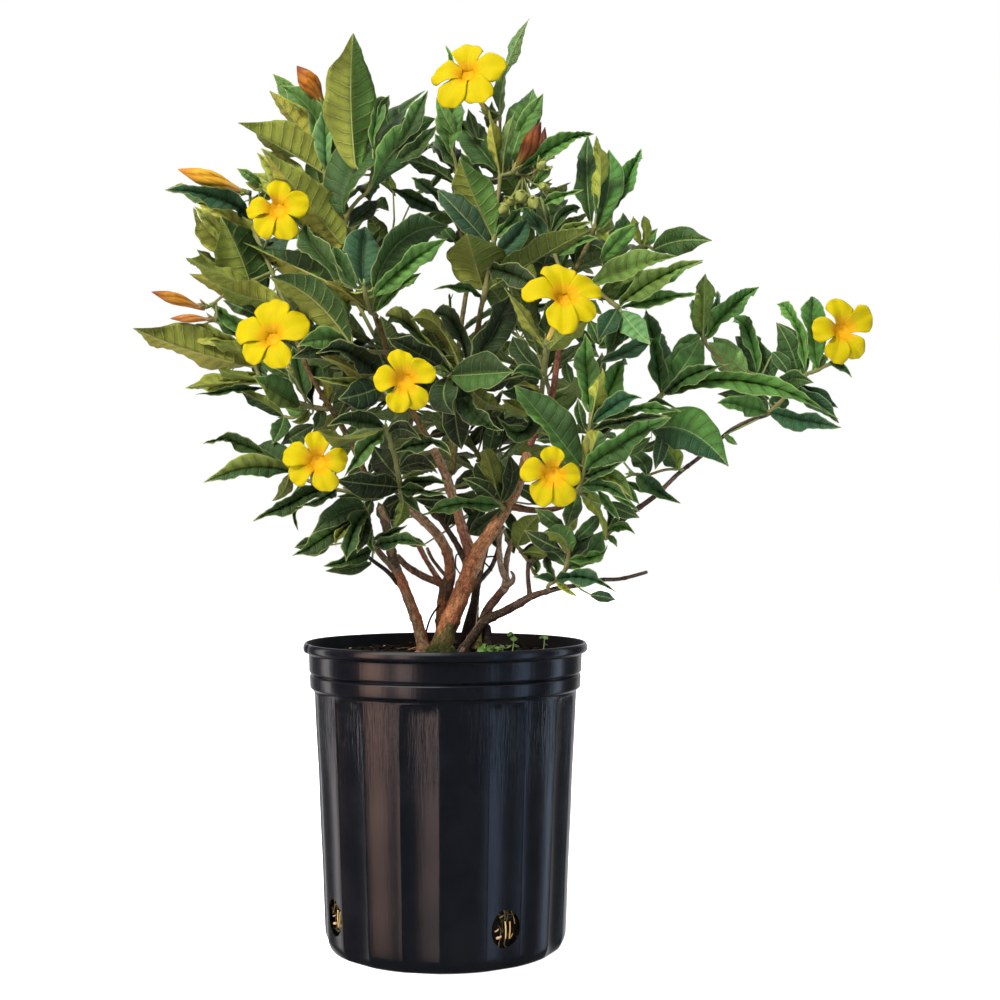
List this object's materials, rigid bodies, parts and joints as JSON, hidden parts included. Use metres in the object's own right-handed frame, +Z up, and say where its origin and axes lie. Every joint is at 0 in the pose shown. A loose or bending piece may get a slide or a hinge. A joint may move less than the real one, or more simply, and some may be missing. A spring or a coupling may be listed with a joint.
{
  "type": "potted flowering shrub",
  "caption": "Bush allamanda with yellow trumpet flowers and pointed leathery leaves, several woody stems, planted in a ribbed black plastic nursery pot of soil.",
  "frame": {"origin": "centre of the pot's flat underside, on the floor it stands on", "axes": "+Z up along the pot's axis, +X to the right and -Y to the front as the plant is usually seen, with its long side branch towards +X"},
  "size_m": [0.6459, 0.4101, 0.8162],
  "materials": {
    "pot_plastic": "satin",
    "soil": "matte",
    "moss": "matte",
    "weed_green": "satin",
    "bark": "matte",
    "foliage": "satin",
    "petal": "satin",
    "bud_amber": "satin",
    "bud_red": "satin"
  },
  "bodies": {
    "root": {"back_left": "foliage", "back_low": "foliage", "back_right": "foliage", "bud_amber_lower": "bud_amber", "bud_amber_upper": "bud_amber", "bud_orange_top": "bud_amber", "bud_red_slim": "bud_red", "bud_red_tall": "bud_red", "bud_yellow_left": "bud_amber", "flower_1": "petal", "flower_2": "petal", "flower_3": "petal", "flower_4": "petal", "flower_5": "petal", "flower_6": "petal", "flower_7": "petal", "flower_8": "petal", "moss_cushion": "moss", "nursery_pot": "pot_plastic", "potting_soil": "soil", "shoot_a1": "foliage", "shoot_a2": "foliage", "shoot_a3": "foliage", "shoot_a4": "foliage", "shoot_b": "foliage", "shoot_c": "foliage", "shoot_d1": "foliage", "shoot_d2": "foliage", "shoot_e": "foliage", "shoot_g": "foliage", "shoot_h2": "foliage", "shoot_k": "foliage", "shoot_l1": "foliage", "shoot_l5": "foliage", "shoot_m": "foliage", "shoot_m5": "foliage", "shoot_n": "foliage", "shoot_o": "foliage", "shoot_p": "foliage", "shoot_q1": "foliage", "shoot_q2": "foliage", "shoot_r1": "foliage", "shoot_r2": "foliage", "shoot_r3": "foliage", "shoot_s": "foliage", "shoot_u": "foliage", "shoot_v": "foliage", "stem_back": "bark", "stem_far_left": "bark", "stem_left_outer": "bark", "stem_long_right": "bark", "stem_low_right": "bark", "stem_right_twin": "bark", "stem_second": "bark", "stem_upper_back": "bark", "stem_upper_centre": "bark", "stem_upper_left": "bark", "stem_upper_right": "bark", "trunk_main": "bark", "weed_seedlings": "weed_green"}
  },
  "joints": []
}
